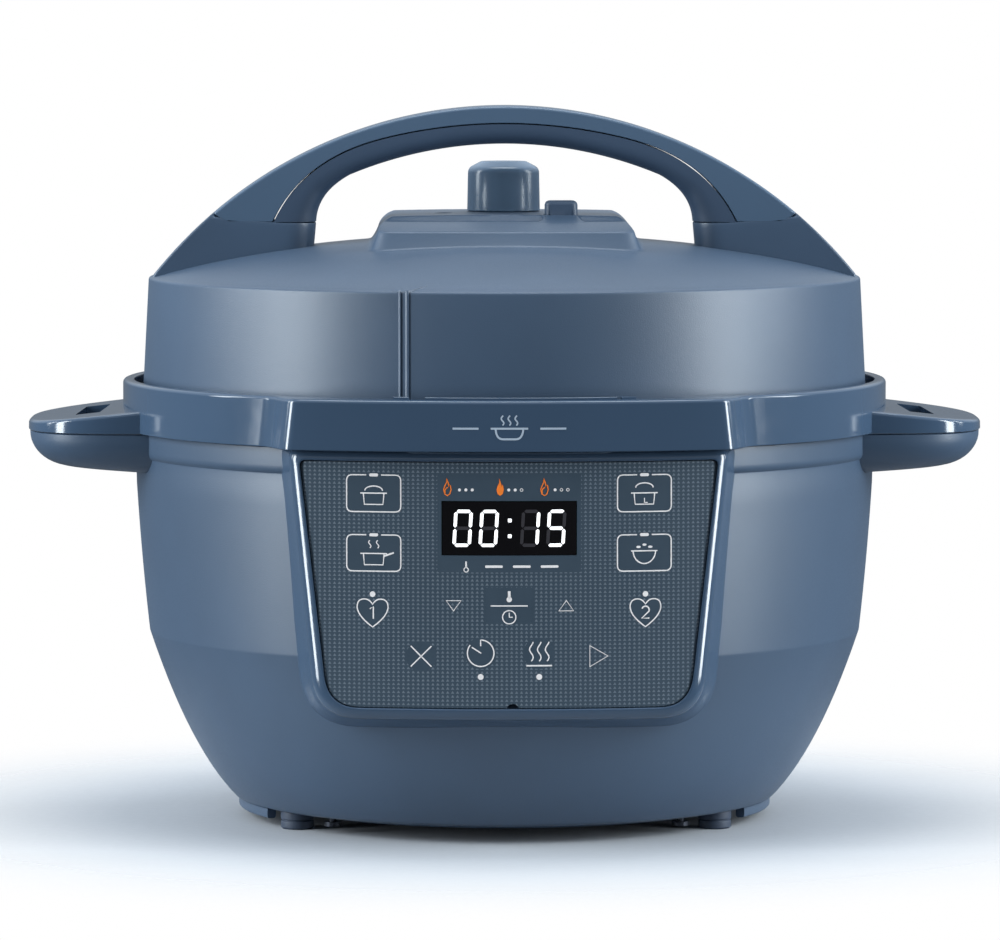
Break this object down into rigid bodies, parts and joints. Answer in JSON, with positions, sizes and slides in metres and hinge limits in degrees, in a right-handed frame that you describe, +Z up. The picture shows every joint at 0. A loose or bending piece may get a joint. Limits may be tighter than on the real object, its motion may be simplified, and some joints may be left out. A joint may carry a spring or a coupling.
{
  "type": "electric pressure cooker",
  "caption": "Wide countertop electric pressure cooker with a lift-out pot, a turn-and-lift bayonet lid, an arched lid handle, side handles and a touch panel.",
  "frame": {"origin": "centre of the base on the surface that the cooker stands on", "axes": "+Z up, front panel towards -Y, side handles along X"},
  "size_m": [0.406, 0.326, 0.303],
  "materials": {
    "matte_body": "fine-grained satin, blue-grey",
    "gloss_trim": "polished blue-grey",
    "soft_grip": "satin, darker blue-grey",
    "panel_film": "printed film",
    "display_glass": "smoked window",
    "black_plastic": "moulded",
    "steel": "brushed",
    "cast_aluminium": "cast, machined top",
    "board": "circuit board",
    "silicone": "translucent silicone",
    "red_silicone": "silicone"
  },
  "bodies": {
    "base": {"outer_shell": "matte_body", "base_cover": "matte_body", "top_ring": "gloss_trim", "left_handle_grip": "matte_body", "right_handle_grip": "matte_body", "front_bezel": "gloss_trim", "control_panel": "panel_film", "display_window": "display_glass", "control_board": "board", "cooker_liner": "steel", "heating_plate": "cast_aluminium", "heat_shield": "steel", "sensor_spring": "steel", "power_board": "board", "power_inlet": "black_plastic", "thermal_fuse": "cast_aluminium", "pressure_switch": "black_plastic", "foot_front_left": "black_plastic", "foot_front_right": "black_plastic", "foot_back_left": "black_plastic", "foot_back_right": "black_plastic", "base_screw_1": "steel", "base_screw_2": "steel", "base_screw_3": "steel", "base_screw_4": "steel"},
    "sensor": {"temp_sensor": "cast_aluminium"},
    "pot": {"inner_pot": "steel"},
    "seal": {"sealing_ring": "silicone"},
    "lid": {"lid_cover": "matte_body", "valve_deck": "matte_body", "handle_cover": "gloss_trim", "handle_grip": "soft_grip", "lid_inner_plate": "steel", "sealing_ring_rack": "steel", "plate_screw_1": "steel", "plate_screw_2": "steel", "plate_screw_3": "steel", "handle_screw_1": "steel", "handle_screw_2": "steel", "vent_pipe": "steel", "anti_block_shield": "steel", "quick_release_spring": "steel"},
    "cap": {"steam_cap": "gloss_trim"},
    "valve": {"steam_valve": "steel"},
    "button": {"quick_release_button": "soft_grip"},
    "float": {"float_valve": "steel", "float_valve_cap": "red_silicone"}
  },
  "joints": [
    {"name": "pot_lift", "type": "slide", "parent": "base", "child": "pot", "axis": [0, 0, 1], "range_m": [0, 0.155]},
    {"name": "lid_lift", "type": "slide", "parent": "pot", "child": "seal", "axis": [0, 0, 1], "range_m": [0, 0.1]},
    {"name": "lid_turn", "type": "hinge", "parent": "seal", "child": "lid", "pos_m": [0, 0, 0.18], "axis": [0, 0, 1], "range_deg": [0, 32]},
    {"name": "steam_cap_lift", "type": "slide", "parent": "lid", "child": "cap", "axis": [0, 0, 1], "range_m": [0, 0.02]},
    {"name": "quick_release_press", "type": "slide", "parent": "lid", "child": "button", "axis": [0, 0, -1], "range_m": [0, 0.004], "stiffness_N_per_m": 400, "springref_m": -0.003, "deforming": ["quick_release_spring"]},
    {"name": "steam_valve_lift", "type": "slide", "parent": "lid", "child": "valve", "axis": [0, 0, 1], "range_m": [0, 0.002]},
    {"name": "float_valve_rise", "type": "slide", "parent": "lid", "child": "float", "axis": [0, 0, 1], "range_m": [0, 0.005]},
    {"name": "temp_sensor_press", "type": "slide", "parent": "base", "child": "sensor", "axis": [0, 0, -1], "range_m": [0, 0.0025], "stiffness_N_per_m": 800, "springref_m": -0.002, "deforming": ["sensor_spring"]}
  ],
  "couplings": [
    {"joint": "steam_valve_lift", "follows": "quick_release_press", "ratio": 0.5}
  ]
}
